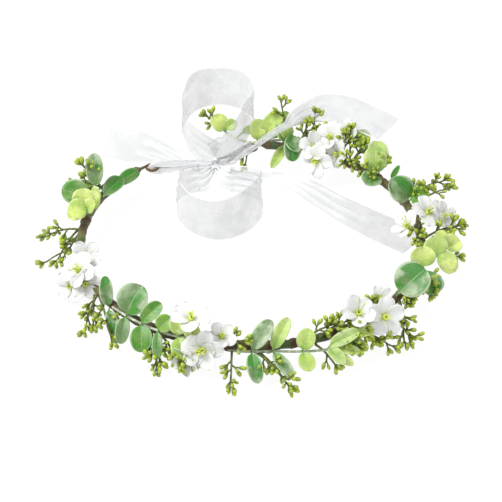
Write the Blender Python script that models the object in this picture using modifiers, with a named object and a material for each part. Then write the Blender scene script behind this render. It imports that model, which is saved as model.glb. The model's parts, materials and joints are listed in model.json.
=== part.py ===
"""A flower crown: a springy wire ring bound in floral tape, with leaf sprigs, berry sprays and fabric
flowers bound onto it, closed at the back by a ribbon bow tied through the wire's two eyes.

Metres, +Z up. The origin is the ring's centre on the table that the crown lies on, +X to the right
and +Y towards the bow. Places along the ring are angles in degrees, counted from +X towards +Y, with
offsets outwards and upwards from the middle of the bound stem in millimetres."""

import math
import random

import bmesh
import bpy
from mathutils import Matrix, Vector

MM = 0.001
UP = Vector((0, 0, 1))
FRONT = Vector((0, -0.6, 0.8))  # leaves and flowers are plied to face the front and up

# The ring
RING_RADIUS = 95 * MM  # to the middle of the bound stem
RING_HEIGHT = 12 * MM  # middle of the bound stem above the table
ROUTE_RADIUS = 95 * MM  # the ring that the ribbon tails' routes below are written for
ROUTE_HEIGHT = 12 * MM  # the height that the hanging angles and droops below are written for
RING_START = 130  # degrees, at the left eye
RING_END = 450  # degrees, at the right eye
WIRE_DIAMETER = 2.0 * MM
EYE_RADIUS = 3.5 * MM
EYE_TURN = 300  # degrees of a full turn
TAPE_DIAMETER = 5.0 * MM
TAPE_WALL = 1.0 * MM
TAPE_LENGTHS = {"tape_left": (134, 226), "tape_front": (226.4, 330), "tape_right": (330.4, 446)}

# What is bound onto it
STEM_DIAMETER = 1.6 * MM
LEAF_THICKNESS = 0.5 * MM
LEAF_NECK = 1.6 * MM  # width where a pair is threaded on its stem
LEAF_STALK = 0.12  # of a leaf's length, before its blade widens
LEAF_ARCH = 0.09  # of a leaf's length
SPRAY_DIAMETER = 1.2 * MM
TWIG_DIAMETER = 0.8 * MM
BUD_RADIUS = 1.5 * MM
TWIG_LENGTHS = (3.0 * MM, 4.6 * MM)
TWIG_TURN = 2.4  # radians round the stem from one twig to the next
PETAL_REACH = 10.0 * MM
PETAL_NOTCH = 0.62  # reach between two petals, as a share of a petal's
PETAL_CUP = 0.22  # how far the petals rise for each millimetre outwards
PETAL_THICKNESS = 0.4 * MM
PEG_DIAMETER = 2.4 * MM
PEG_HEAD = 3.6 * MM
PEG_TIP = 4.4 * MM  # beyond the petals

# The ribbon and the bow
RIBBON_WIDTH = 25.0 * MM
RIBBON_THICKNESS = 0.4 * MM
KNOT_SIZE = Vector((10.0, 8.0, 9.0)) * MM
TIE_DIAMETER = 2.2 * MM
TIE_SLACK = 0.4 * MM  # beyond the gap, where a strand turns over the wire
KNOT_PLACE = (106, -17, -2)  # angle, out, up

FIT_GAP = 0.3 * MM  # between pieces that touch


def at(angle, out=0.0, up=0.0):
    """A point beside the ring: degrees round it, then millimetres outwards and upwards."""
    turn = math.radians(angle)
    reach = RING_RADIUS + out * MM
    return Vector((reach * math.cos(turn), reach * math.sin(turn), RING_HEIGHT + up * MM))


def outward(angle):
    return Vector((math.cos(math.radians(angle)), math.sin(math.radians(angle)), 0))


def along(angle):
    return Vector((-math.sin(math.radians(angle)), math.cos(math.radians(angle)), 0))


def edge(angle, side):
    """A direction square to the ring: 0 is outwards and 90 straight up."""
    return outward(angle) * math.cos(math.radians(side)) + UP * math.sin(math.radians(side))


def hang():
    """How far hanging pieces come down, as a share of what their angles and droops say."""
    return RING_HEIGHT / ROUTE_HEIGHT


def aim(angle, turn, rise):
    """A direction at a place on the ring: turned from outwards towards rising angles, then raised."""
    flat = outward(angle) * math.cos(math.radians(turn)) + along(angle) * math.sin(math.radians(turn))
    lift = math.sin(math.radians(rise)) * (hang() if rise < 0 else 1)
    return (flat * math.cos(math.radians(rise)) + UP * lift).normalized()


def smooth(points, steps):
    """A smooth curve through all the points, each a tuple or Vector of any length."""
    line = []
    last = len(points) - 1
    for i in range(last):
        a, b, c, d = (points[min(max(i + k, 0), last)] for k in (-1, 0, 1, 2))
        for step in range(steps):
            t = step / steps
            line.append([
                0.5 * (2 * q + (r - p) * t + (2 * p - 5 * q + 4 * r - s) * t**2 + (3 * q - p - 3 * r + s) * t**3)
                for p, q, r, s in zip(a, b, c, d)
            ])
    return line + [list(points[-1])]


# Collections and materials


for leftover in list(bpy.data.objects):
    bpy.data.objects.remove(leftover, do_unlink=True)

crown = bpy.data.collections.new("flower_crown")
bpy.context.scene.collection.children.link(crown)
cutters = bpy.data.collections.new("cutters")
cutters.hide_render = True
bpy.context.scene.collection.children.link(cutters)


def material(name, colour, roughness, metallic=0.0):
    made = bpy.data.materials.new(name)
    made.use_nodes = True
    shader = made.node_tree.nodes["Principled BSDF"]
    shader.inputs["Base Color"].default_value = (*colour, 1)
    shader.inputs["Roughness"].default_value = roughness
    shader.inputs["Metallic"].default_value = metallic
    return made


def place(name, mesh, finish, collection=crown):
    made = bpy.data.objects.new(name, mesh)
    mesh.materials.append(finish)
    mesh.shade_smooth()
    collection.objects.link(made)
    if collection is not crown:
        made.hide_render = True
        made.display_type = "WIRE"
    return made


def thicken(made, thickness, offset=0.0):
    shell = made.modifiers.new("thickness", "SOLIDIFY")
    shell.thickness = thickness
    shell.offset = offset
    return made


def mesh_from(bm, name):
    mesh = bpy.data.meshes.new(name)
    bm.to_mesh(mesh)
    bm.free()
    return mesh


def sheet_mesh(name, rows, columns, shape, wraps=False):
    """A grid bent by shape(u, v), with u along it from 0 to 1 and v across it from -1 to 1."""
    bm = bmesh.new()
    bmesh.ops.create_grid(bm, x_segments=rows, y_segments=columns, size=1)
    for vertex in bm.verts:
        vertex.co = shape((vertex.co.x + 1) / 2, vertex.co.y)
    if wraps:
        bmesh.ops.remove_doubles(bm, verts=bm.verts, dist=0.01 * MM)
    bmesh.ops.recalc_face_normals(bm, faces=bm.faces)
    return mesh_from(bm, name)


def tube(name, points, diameter, finish, detail=0):
    """A round wire, stem or strand through the points, as a curve with filled caps."""
    curve = bpy.data.curves.new(name, "CURVE")
    curve.dimensions = "3D"
    curve.bevel_depth = diameter / 2
    curve.bevel_resolution = detail
    curve.use_fill_caps = True
    spline = curve.splines.new("POLY")
    spline.points.add(len(points) - 1)
    for point, target in zip(spline.points, points):
        point.co = (*target, 1)
    made = bpy.data.objects.new(name, curve)
    curve.materials.append(finish)
    crown.objects.link(made)
    return made


def as_mesh(curve_object):
    """The same tube as a mesh with welded caps, for a Boolean."""
    bpy.context.view_layer.update()
    graph = bpy.context.evaluated_depsgraph_get()
    mesh = bpy.data.meshes.new_from_object(curve_object.evaluated_get(graph))
    name = curve_object.name
    matrix = curve_object.matrix_world.copy()
    bpy.data.objects.remove(curve_object, do_unlink=True)
    bm = bmesh.new()
    bm.from_mesh(mesh)
    bmesh.ops.remove_doubles(bm, verts=bm.verts, dist=0.01 * MM)
    bm.to_mesh(mesh)
    bm.free()
    made = bpy.data.objects.new(name, mesh)
    made.matrix_world = matrix
    crown.objects.link(made)
    return made


# The ring: a wire with an eye at each end, inside three lengths of tape


def eye(angle, side):
    """The points of an eye that carries on from the ring's end at this angle."""
    middle = at(angle) - outward(angle) * EYE_RADIUS
    turns = [math.radians(EYE_TURN * k / 12) for k in range(1, 13)]
    return [
        middle + EYE_RADIUS * (outward(angle) * math.cos(t) + along(angle) * side * math.sin(t)) for t in turns
    ]


def build_ring():
    steel = material("wire_wrap", (0.16, 0.12, 0.05), 0.7)
    arc = [at(RING_START + (RING_END - RING_START) * k / 56) for k in range(57)]
    tube("ring_wire", eye(RING_START, -1)[::-1] + arc + eye(RING_END, 1), WIRE_DIAMETER, steel, detail=1)

    tape = material("floral_tape", (0.19, 0.13, 0.05), 0.75)
    radius = TAPE_DIAMETER / 2
    for name, (start, end) in TAPE_LENGTHS.items():

        def bend(u, v, start=start, end=end):
            angle = start + (end - start) * u
            return at(angle) + edge(angle, 180 * v) * radius

        thicken(place(name, sheet_mesh(name, 16, 8, bend, wraps=True), tape), TAPE_WALL, -1)


# Leaves: pairs cut in one piece and threaded on a stem, or bound straight to the ring


# Each stem's route: degrees round the ring, the side of the tape (0 outwards, 90 on top), millimetres off it
STEMS = {
    "eucalyptus_stem_1": [(150, 56, 0.7), (156, 62, 1.1), (164, 80, 2), (174, 108, 6)],
    "eucalyptus_stem_2": [(222, 39, 0.7), (230, 41, 0.8), (238, 41, 0.8), (246, 41, 0.8), (252, 49, 0.8)],
    "eucalyptus_stem_3": [
        (263, 0, 0.4), (270, 0, 0.6), (277, 0, 0.9), (284, -9, 2.5), (291, -11, 4.5), (295, -12, 5.6),
    ],
    "eucalyptus_stem_4": [(328, 51, 0.5), (334, 53, 0.7), (342, 42, 1.8), (348, 18, 6), (352, 13, 10)],
    "eucalyptus_stem_5": [(71, 69, 0.7), (76, 55, 0.7), (82, 6, 1.4), (89, -25, 7), (95, -19, 14), (99, -5, 20)],
}

# name: where it sits (a stem or the ring), its angle there, the side of the stem that its neck lies on
# (0 outwards, 90 on top), and its two leaves as turn, rise, length, width, roll
LEAF_PAIRS = {
    "leaf_pair_01": ("eucalyptus_stem_1", 156, 60, (-60, 55, 20, 9.5, 0), (20, -10, 12, 9, 0)),
    "leaf_pair_02": ("eucalyptus_stem_1", 163, 90, (20, 20, 17, 14, 0), (170, 25, 8, 10, 0)),
    "leaf_pair_03": ("eucalyptus_stem_1", 169, 30, (-80, 75, 11, 12, 0), (50, -20, 11, 9, 0)),
    "leaf_pair_04": ("eucalyptus_stem_1", 173, 90, (25, 10, 11, 12, 0), (170, 50, 8, 8, 0)),
    "leaf_pair_05": ("ring", 220, 0, (-120, 60, 17, 6.5, 0), (70, -35, 20, 6, 0)),
    "leaf_pair_06": ("eucalyptus_stem_2", 229, 45, (175, 50, 18, 16, 0), (30, -40, 15, 7, 0)),
    "leaf_pair_07": ("eucalyptus_stem_2", 235, 45, (155, 35, 15, 8, 0), (40, -40, 15, 11, 0)),
    "leaf_pair_08": ("eucalyptus_stem_2", 241, 45, (140, 40, 10, 9, 0), (30, -40, 15, 5, 0)),
    "leaf_pair_09": ("eucalyptus_stem_2", 248, 45, (-170, 55, 11, 9, 0), (40, -35, 12, 9.5, 0)),
    "leaf_pair_10": ("eucalyptus_stem_3", 270, 45, (130, 45, 19, 8.5, 0), (15, -35, 17, 7.5, 0)),
    "leaf_pair_11": ("eucalyptus_stem_3", 276, 45, (130, 50, 19, 7, 0), (35, -25, 18, 6, 0)),
    "leaf_pair_12": ("eucalyptus_stem_3", 285, 45, (135, 55, 12, 9, 0), (10, -35, 11, 8, 0)),
    "leaf_pair_13": ("eucalyptus_stem_3", 292, 90, (80, 25, 18, 6.5, 0), (20, -15, 13, 6, 0)),
    "leaf_pair_14": ("eucalyptus_stem_4", 339, 60, (-62, -20, 17, 17, -35), (110, 65, 12, 13, 0)),
    "leaf_pair_15": ("eucalyptus_stem_4", 347, 45, (115, 65, 11, 13, 0), (-10, -15, 12, 10, 0)),
    "leaf_pair_16": ("eucalyptus_stem_4", 351, 60, (35, 15, 10, 10, 0), (150, 60, 11, 8, 0)),
    "leaf_pair_17": ("ring", 19, 70, (-25, 25, 12, 12, 0), (150, 45, 17, 15, 0)),
    "leaf_pair_18": ("ring", 38, 120, (-160, 0, 12, 12, 0), (60, 60, 17, 13, 0)),
    "leaf_pair_19": ("eucalyptus_stem_5", 75, 100, (-150, -5, 14, 9.5, 0), (90, 50, 10, 8, 0)),
    "leaf_pair_20": ("eucalyptus_stem_5", 98, 90, (70, 40, 12, 11, 0), (-80, 40, 8, 7, 0)),
    "leaf_pair_21": ("eucalyptus_stem_5", 80, 60, (-15, 55, 16, 8, 0), (40, -30, 13, 5, 0)),
}


def stem_point(angle, side, off):
    """A point of a stem that runs this many millimetres off the tape, on this side of it."""
    return at(angle) + edge(angle, side) * (TAPE_DIAMETER / 2 + FIT_GAP + STEM_DIAMETER / 2 + off * MM)


def host_at(name, angle):
    """The point of a stem, or of the bound ring, at this angle, its direction and its radius."""
    if name == "ring":
        return at(angle), along(angle), TAPE_DIAMETER / 2
    route = smooth(STEMS[name], 8)
    i = min(range(1, len(route) - 1), key=lambda k: abs(route[k][0] - angle))
    grain = stem_point(*route[i + 1]) - stem_point(*route[i - 1])
    return stem_point(*route[i]), grain.normalized(), STEM_DIAMETER / 2


def leaf_pair(name, host, angle, side, first, second, finish):
    point, grain, radius = host_at(host, angle)
    reach = [aim(angle, leaf[0], leaf[1]) for leaf in (first, second)]
    off = edge(angle, side)
    off = (off - grain * off.dot(grain)).normalized()
    neck = point + off * (radius + FIT_GAP + LEAF_NECK / 2)

    spread = []
    for way, leaf, hand in zip(reach, (first, second), (-1, 1)):
        face = (FRONT - way * FRONT.dot(way)).normalized()
        face = Matrix.Rotation(math.radians(leaf[4]), 3, way) @ face
        spread.append((face, face.cross(way) * hand))

    def bend(u, v):
        k = 0 if u < 0.5 else 1
        length, width = (first, second)[k][2:4]
        part = abs(2 * u - 1)
        face, across = spread[k]
        if part < 0.01:
            across = (spread[0][1] + spread[1][1]).normalized()
        blade = max(part - LEAF_STALK, 0) / (1 - LEAF_STALK)
        swell = math.sin(math.pi * blade**0.85) ** 0.8 if blade < 0.999 else 0
        half = LEAF_NECK / 2 + (width * MM - LEAF_NECK) / 2 * swell
        lift = LEAF_ARCH * length * MM * math.sin(math.pi * part)
        return neck + reach[k] * (length * MM * part) + across * half * v + face * lift

    thicken(place(name, sheet_mesh(name, 10, 2, bend), finish), LEAF_THICKNESS)


def build_leaves():
    bark = material("sprig_stem", (0.33, 0.24, 0.09), 0.6)
    green = material("leaf_green", (0.16, 0.42, 0.10), 0.5)
    pale = material("leaf_pale", (0.45, 0.60, 0.40), 0.6)
    for name, route in STEMS.items():
        tube(name, [stem_point(*spot) for spot in smooth(route, 3)], STEM_DIAMETER, bark, detail=1)
    for i, (name, values) in enumerate(LEAF_PAIRS.items()):
        leaf_pair(name, *values, pale if i % 3 == 2 else green)


# Berry sprays: moulded stems with buds on short twigs, bound to the ring by their foot


# name: angle, side of the ring that the foot lies on, turn, rise, length, droop, twigs
SPRAYS = {
    "berry_spray_1": (176, 0, 0, -15, 15, 4.5, 6),
    "berry_spray_2": (212, 0, 55, -15, 17, 5, 6),
    "berry_spray_3": (240, -60, 45, -5, 14, 4, 6),
    "berry_spray_4": (264, -30, 15, -10, 16, 4.5, 6),
    "berry_spray_5": (270, -90, 36, 0, 27, 4.5, 8),
    "berry_spray_6": (302, 0, 42, -10, 18, 4, 8),
    "berry_spray_7": (324, 0, -50, -10, 23, 4.5, 8),
    "berry_spray_8": (358, 20, 18, 5, 17, 1, 8),
    "berry_spray_9": (22, 30, -8, 11, 20, 0, 8),
    "berry_spray_10": (52, 60, 35, 45, 12, 0, 8),
}


def spray_route(angle, side, turn, rise, length, droop):
    """The stem's points: it leaves the tape, then runs on its way and droops towards the tip."""
    foot = at(angle) + edge(angle, side) * (TAPE_DIAMETER / 2 + FIT_GAP + SPRAY_DIAMETER)
    way = aim(angle, turn, rise)
    sag = droop * MM * hang()
    return [foot + way * (length * MM * k / 5) - UP * (sag * (k / 5) ** 2) for k in range(6)]


def bud(name, centre, radius, finish, group):
    bm = bmesh.new()
    bmesh.ops.create_icosphere(bm, subdivisions=1, radius=radius, matrix=Matrix.Translation(centre))
    place(name, mesh_from(bm, name), finish, group)


def twig(name, start, end, finish, group):
    bm = bmesh.new()
    way = end - start
    turned = Matrix.Translation((start + end) / 2) @ way.to_track_quat("Z", "Y").to_matrix().to_4x4()
    bmesh.ops.create_cone(
        bm, cap_ends=True, segments=4, radius1=TWIG_DIAMETER / 2, radius2=TWIG_DIAMETER / 2,
        depth=way.length, matrix=turned,
    )
    place(name, mesh_from(bm, name), finish, group)


def build_sprays():
    green = material("berry_green", (0.30, 0.40, 0.06), 0.45)
    for number, (name, (angle, side, turn, rise, length, droop, twigs)) in enumerate(SPRAYS.items()):
        chance = random.Random(number)
        route = spray_route(angle, side, turn, rise, length, droop)
        stem = as_mesh(tube(name, route, SPRAY_DIAMETER, green))
        stem.data.shade_smooth()
        group = bpy.data.collections.new(name + "_buds")
        cutters.children.link(group)
        bud(name + "_tip", route[-1], BUD_RADIUS, green, group)
        way = (route[-1] - route[0]).normalized()
        level = way.cross(UP).normalized()
        for k in range(twigs):
            start = route[2].lerp(route[5], k / twigs)
            turned = Matrix.Rotation(k * TWIG_TURN + chance.uniform(-0.4, 0.4), 3, way) @ level
            end = start + (way * 0.7 + turned).normalized() * chance.uniform(*TWIG_LENGTHS)
            twig(f"{name}_twig_{k}", start, end, green, group)
            bud(f"{name}_bud_{k}", end, BUD_RADIUS * chance.uniform(0.8, 1.1), green, group)
        join = stem.modifiers.new("buds", "BOOLEAN")
        join.operation = "UNION"
        join.operand_type = "COLLECTION"
        join.collection = group
        join.solver = "EXACT"


# Flowers: five fabric petals cut in one piece, threaded on a peg


# name: angle, the way it faces as turn and rise, and the length of its peg
FLOWERS = {
    "flower_1": (202, 40, 45, 7),
    "flower_2": (256, 10, 20, 6),
    "flower_3": (252, 0, 80, 13),
    "flower_4": (313, -30, 32, 11),
    "flower_5": (8, -60, 50, 9),
    "flower_6": (61, 180, 18, 12),
}


def petals_mesh(name, centre, face):
    turned = face.to_track_quat("Z", "Y").to_matrix()
    inner = PEG_DIAMETER / 2 + FIT_GAP

    def bend(u, v):
        turn = math.tau * u
        lobe = PETAL_NOTCH + (1 - PETAL_NOTCH) * abs(math.cos(2.5 * turn)) ** 0.7
        reach = inner + (PETAL_REACH * lobe - inner) * (v + 1) / 2
        cup = PETAL_CUP * (reach - inner)
        return centre + turned @ Vector((reach * math.cos(turn), reach * math.sin(turn), cup))

    return sheet_mesh(name, 20, 2, bend, wraps=True)


def peg(name, foot, face, length, finish):
    """A turned peg with a round head, from the tape through the petals' hole."""
    neck = PEG_DIAMETER / 2
    head = PEG_HEAD / 2
    outline = [
        (0, PEG_TIP), (head * 0.6, PEG_TIP * 0.9), (head, PEG_TIP * 0.6), (head * 0.8, PEG_TIP * 0.35),
        (neck, PEG_TIP * 0.25), (neck, -length * MM), (0, -length * MM),
    ]
    mesh = bpy.data.meshes.new(name)
    mesh.from_pydata([(r, 0, z) for r, z in outline], [(i, i + 1) for i in range(len(outline) - 1)], [])
    made = place(name, mesh, finish)
    made.location = foot + face * length * MM
    made.rotation_euler = face.to_track_quat("Z", "Y").to_euler()
    turn = made.modifiers.new("turned", "SCREW")
    turn.steps = 8
    turn.render_steps = 8
    turn.use_merge_vertices = True
    turn.merge_threshold = 0.00001
    return made


def build_flowers():
    white = material("petal_white", (0.93, 0.94, 0.91), 0.7)
    lime = material("centre_lime", (0.62, 0.72, 0.20), 0.6)
    for name, (angle, turn, rise, length) in FLOWERS.items():
        face = aim(angle, turn, rise)
        side = (face - along(angle) * face.dot(along(angle))).normalized()
        foot = at(angle) + side * (TAPE_DIAMETER / 2 + FIT_GAP + PEG_DIAMETER / 2)
        petals = petals_mesh(name, foot + face * length * MM, face)
        thicken(place(name + "_petals", petals, white), PETAL_THICKNESS)
        peg(name + "_centre", foot, face, length, lime)


# The bow: two ribbons tied through the eyes, knotted together into two loops and three tails


# Each route runs from the knot: x and y from the knot's middle, the lower edge's height above the table,
# how much of the ribbon's width is spread out, and its lean, 90 where it stands on edge and 0 where it is flat.
LOOPS = {
    "bow_loop_outer": [
        (-6.5, 3, 8, 0.32, 90), (-13, 14, 9, 0.56, 90), (-19, 34, 14, 0.88, 88), (-14, 54, 15.5, 1, 80),
        (0, 61, 16, 1, 78), (16, 55, 16.5, 1, 80), (23, 36, 17.5, 0.92, 90), (17, 20, 16, 0.72, 92),
        (10, 10, 11, 0.48, 92), (6.5, 3, 8, 0.32, 90),
    ],
    "bow_loop_inner": [
        (-6.5, -3, 5, 0.32, 90), (-15, -14, 2, 0.64, 90), (-21, -32, 0.5, 1, 85), (-14, -52, 0.5, 1, 80),
        (2, -61, 1, 1, 78), (18, -52, 0.5, 1, 80), (27, -34, 0.5, 1, 85), (20, -14, 2, 0.64, 90),
        (6.5, -3, 5, 0.32, 90),
    ],
}
TAILS = {
    "tail_left": [
        (-11, 3, 5, 0.24, -40), (-18, 7, 4, 0.44, -30), (-30, 14, 4, 0.8, -22), (-48, 24, 2.5, 1, -22),
        (-68, 33, 1.5, 1, -25),
    ],
    "tail_back": [
        (10, 1, 11, 0.28, 60), (20, 7, 18, 0.48, 40), (31, 16, 24.5, 0.68, 25), (48, 27, 28.5, 0.88, 12),
        (72, 30, 29, 1, 10), (90, 23, 27, 1, 10), (104, 14, 23.5, 1, 12),
    ],
    "tail_inner": [
        (10, -2, 5, 0.24, 40), (18, -2, 2.5, 0.36, 15), (32, 0, 1.2, 0.52, 0), (46, -3, 0, 0.64, 0),
        (66, -22, 0, 0.8, 0), (88, -43, 0, 1, 0), (108, -60, 0, 1, 0),
    ],
}


def ribbon(name, route, steps, reach, finish):
    """A ribbon along its route, as wide as each place says, leaning between flat and on edge."""
    middle = at(*KNOT_PLACE)
    line = smooth(route, steps)
    spots = []
    for x, y, z, spread, lean in line:
        rise = abs(math.sin(math.radians(lean))) * spread * RIBBON_WIDTH / 2
        height = max(z, 0) * MM + RIBBON_THICKNESS / 2 + rise
        spots.append(Vector((middle.x + x * MM * reach, middle.y + y * MM * reach, height)))
    last = len(line) - 1

    def bend(u, v):
        i = round(u * last)
        way = spots[min(i + 1, last)] - spots[max(i - 1, 0)]
        level = UP.cross(way).normalized()
        lean = math.radians(line[i][4])
        across = level * math.cos(lean) + UP * math.sin(lean)
        return spots[i] + across * line[i][3] * RIBBON_WIDTH * v / 2

    thicken(place(name, sheet_mesh(name, last, 2, bend), finish), RIBBON_THICKNESS, 0)


def tie(name, angle, side, finish):
    """A gathered strand that comes from the knot, down through an eye and back under to the knot."""
    knot = at(*KNOT_PLACE)
    hole = at(angle) - outward(angle) * EYE_RADIUS
    start = knot + Vector((side * (KNOT_SIZE.x / 2 + TIE_DIAMETER), 0, 0))
    rise = WIRE_DIAMETER / 2 + TIE_DIAMETER / 2 + FIT_GAP + TIE_SLACK
    way = (start - hole).normalized()
    near = hole + way * (EYE_RADIUS + 2 * TIE_DIAMETER)
    over = [
        start + UP * TIE_DIAMETER * 0.8, near.lerp(start, 0.5) + UP * rise, near + UP * rise,
        hole + way * 0.4 * rise + UP * rise * 0.9,
    ]
    under = [point - 2 * UP * (point.z - hole.z) for point in reversed(over)]
    points = over + [hole] + under
    tube(name, smooth([tuple(p) for p in points], 3), TIE_DIAMETER, finish, detail=1)


def build_bow():
    organza = material("organza", (0.95, 0.96, 0.97), 0.4)
    bm = bmesh.new()
    size = Matrix.Diagonal((*KNOT_SIZE, 1))
    bmesh.ops.create_uvsphere(
        bm, u_segments=12, v_segments=8, radius=0.5, matrix=Matrix.Translation(at(*KNOT_PLACE)) @ size
    )
    place("bow_knot", mesh_from(bm, "bow_knot"), organza)
    tie("tie_left", RING_START, -1, organza)
    tie("tie_right", RING_END, 1, organza)
    for name, route in LOOPS.items():
        ribbon(name, route, 3, 1, organza)
    for name, route in TAILS.items():
        ribbon(name, route, 4, RING_RADIUS / ROUTE_RADIUS, organza)


build_ring()
build_leaves()
build_sprays()
build_flowers()
build_bow()
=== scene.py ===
import json
import math
import random

import bmesh
import bpy
import numpy as np
from mathutils import Matrix, Vector, noise
from mathutils.bvhtree import BVHTree

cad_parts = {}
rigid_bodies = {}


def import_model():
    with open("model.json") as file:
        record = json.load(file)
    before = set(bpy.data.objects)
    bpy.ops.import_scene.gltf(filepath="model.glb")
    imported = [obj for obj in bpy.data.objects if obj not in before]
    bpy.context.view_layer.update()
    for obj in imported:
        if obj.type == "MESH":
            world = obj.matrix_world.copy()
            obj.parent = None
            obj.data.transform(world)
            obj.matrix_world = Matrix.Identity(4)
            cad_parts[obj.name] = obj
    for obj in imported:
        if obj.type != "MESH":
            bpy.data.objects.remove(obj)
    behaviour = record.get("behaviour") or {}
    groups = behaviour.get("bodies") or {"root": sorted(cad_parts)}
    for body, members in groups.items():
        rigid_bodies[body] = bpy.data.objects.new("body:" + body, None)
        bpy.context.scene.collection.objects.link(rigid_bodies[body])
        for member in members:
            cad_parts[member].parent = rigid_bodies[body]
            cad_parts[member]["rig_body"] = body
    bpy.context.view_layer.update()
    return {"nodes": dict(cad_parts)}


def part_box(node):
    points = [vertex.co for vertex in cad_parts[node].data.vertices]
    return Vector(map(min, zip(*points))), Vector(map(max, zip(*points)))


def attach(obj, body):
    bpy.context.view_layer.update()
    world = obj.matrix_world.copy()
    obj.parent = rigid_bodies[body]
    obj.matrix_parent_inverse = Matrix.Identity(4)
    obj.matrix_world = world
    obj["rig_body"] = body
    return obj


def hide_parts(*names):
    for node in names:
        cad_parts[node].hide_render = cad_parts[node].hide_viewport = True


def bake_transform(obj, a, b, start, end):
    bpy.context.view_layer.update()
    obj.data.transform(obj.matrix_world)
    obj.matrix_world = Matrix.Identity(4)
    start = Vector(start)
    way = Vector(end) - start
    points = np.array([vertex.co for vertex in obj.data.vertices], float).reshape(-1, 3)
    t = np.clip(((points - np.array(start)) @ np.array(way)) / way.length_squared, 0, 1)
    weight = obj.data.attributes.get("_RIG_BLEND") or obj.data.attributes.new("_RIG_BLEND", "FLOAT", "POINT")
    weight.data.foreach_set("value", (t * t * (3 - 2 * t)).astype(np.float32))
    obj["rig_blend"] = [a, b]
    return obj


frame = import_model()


# The bound ring
# A springy hoop of paper-covered wire, open at the back, with an eye bent at each end. Stretched floral
# tape is wound round it in a long spiral, each turn half over the last, and a second, tighter turn of a
# redder tape binds down the foot of every sprig.

MM = 0.001
UP = Vector((0, 0, 1))
low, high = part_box("tape_left")
STEM_RADIUS = (high.z - low.z) / 2
RING_HEIGHT = (high.z + low.z) / 2
RING_RADIUS = -low.x - STEM_RADIUS
BOUND_FROM = 134  # degrees round the ring from the right, towards the bow
BOUND_TO = 446
WRAP_PITCH = 6.5 * MM
WRAP_STEP = 0.35 * MM
BINDINGS = (  # degrees
    152, 171, 209, 222, 240, 256, 263, 269.5, 276, 283, 297, 318, 329, 345, 357, 371, 382, 398, 411, 434,
)
BINDING_HALF = 1.0  # degrees
BINDING_STEP = 0.4 * MM


def at(angle, out=0.0, up=0.0):
    """A place by the ring: degrees round it, then millimetres outwards and upwards."""
    turn = math.radians(angle)
    reach = RING_RADIUS + out * MM
    return Vector((reach * math.cos(turn), reach * math.sin(turn), RING_HEIGHT + up * MM))


def outward(angle):
    return Vector((math.cos(math.radians(angle)), math.sin(math.radians(angle)), 0))


def add_node(tree, kind, sockets=(), **settings):
    """A shader node, with its settings, and its sockets set to a value or joined to another node's."""
    made = tree.nodes.new("ShaderNode" + kind)
    for key, value in settings.items():
        setattr(made, key, value)
    for key, value in dict(sockets).items():
        if isinstance(value, bpy.types.NodeSocket):
            tree.links.new(value, made.inputs[key])
        else:
            made.inputs[key].default_value = value
    return made


def maths(tree, operation, first, second=0.0, third=0.0):
    sockets = {0: first, 1: second, 2: third}
    return add_node(tree, "Math", sockets, operation=operation).outputs[0]


def between(tree, value, start, end, low=0.0, high=1.0):
    """A value that goes smoothly from low to high as the given one goes from start to end."""
    sockets = {"Value": value, 1: start, 2: end, 3: low, 4: high}
    return add_node(tree, "MapRange", sockets, interpolation_type="SMOOTHSTEP").outputs[0]


def blend_colours(tree, factor, first, second):
    sockets = {0: factor, 6: first, 7: second}
    return add_node(tree, "Mix", sockets, data_type="RGBA", clamp_factor=True).outputs[2]


def speckle(tree, size, detail=3.0, rough=0.5):
    """Noise from 0 to 1 whose patches are about this size, in metres, fixed to the piece."""
    coords = add_node(tree, "TexCoord").outputs["Object"]
    sockets = {"Vector": coords, "Scale": 1 / size, "Detail": detail, "Roughness": rough}
    return add_node(tree, "TexNoise", sockets).outputs[0]


def from_mesh(tree, name):
    return add_node(tree, "Attribute", attribute_name=name).outputs["Fac"]


def bump(tree, height, distance, strength=1.0):
    sockets = {"Height": height, "Distance": distance, "Strength": strength}
    return add_node(tree, "Bump", sockets).outputs[0]


# Every plastic or fabric surface here is a little uneven in colour, so this group is shared.
mottle = bpy.data.node_groups.new("mottle", "ShaderNodeTree")
for title, kind, way in (
    ("Colour", "Color", "INPUT"), ("Size", "Float", "INPUT"), ("Depth", "Float", "INPUT"),
    ("Colour", "Color", "OUTPUT"), ("Height", "Float", "OUTPUT"),
):
    mottle.interface.new_socket(name=title, in_out=way, socket_type="NodeSocket" + kind)
entry = mottle.nodes.new("NodeGroupInput")
coarse = add_node(mottle, "TexNoise", {
    "Vector": add_node(mottle, "TexCoord").outputs["Object"],
    "Scale": maths(mottle, "DIVIDE", 1.0, entry.outputs["Size"]), "Detail": 4.0, "Roughness": 0.6,
}).outputs[0]
swing = maths(mottle, "MULTIPLY", maths(mottle, "SUBTRACT", coarse, 0.5), entry.outputs["Depth"])
shaded = add_node(mottle, "HueSaturation", {
    "Hue": maths(mottle, "MULTIPLY_ADD", swing, -0.04, 0.5), "Saturation": maths(mottle, "ADD", 1.0, swing),
    "Value": maths(mottle, "MULTIPLY_ADD", swing, 1.6, 1.0), "Color": entry.outputs["Colour"],
}).outputs[0]
leave = mottle.nodes.new("NodeGroupOutput")
mottle.links.new(shaded, leave.inputs["Colour"])
mottle.links.new(coarse, leave.inputs["Height"])


def uneven(tree, colour, size, depth):
    """The colour, mottled. It gives the new colour and the height that goes with it."""
    made = add_node(tree, "Group", node_tree=mottle)
    made.inputs["Size"].default_value = size
    made.inputs["Depth"].default_value = depth
    if isinstance(colour, bpy.types.NodeSocket):
        tree.links.new(colour, made.inputs["Colour"])
    else:
        made.inputs["Colour"].default_value = colour
    return made.outputs["Colour"], made.outputs["Height"]


def finish_called(name, roughness):
    """A new material, its node tree and its shader."""
    made = bpy.data.materials.new(name)
    made.use_nodes = True
    shader = made.node_tree.nodes["Principled BSDF"]
    shader.inputs["Roughness"].default_value = roughness
    return made, made.node_tree, shader


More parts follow.
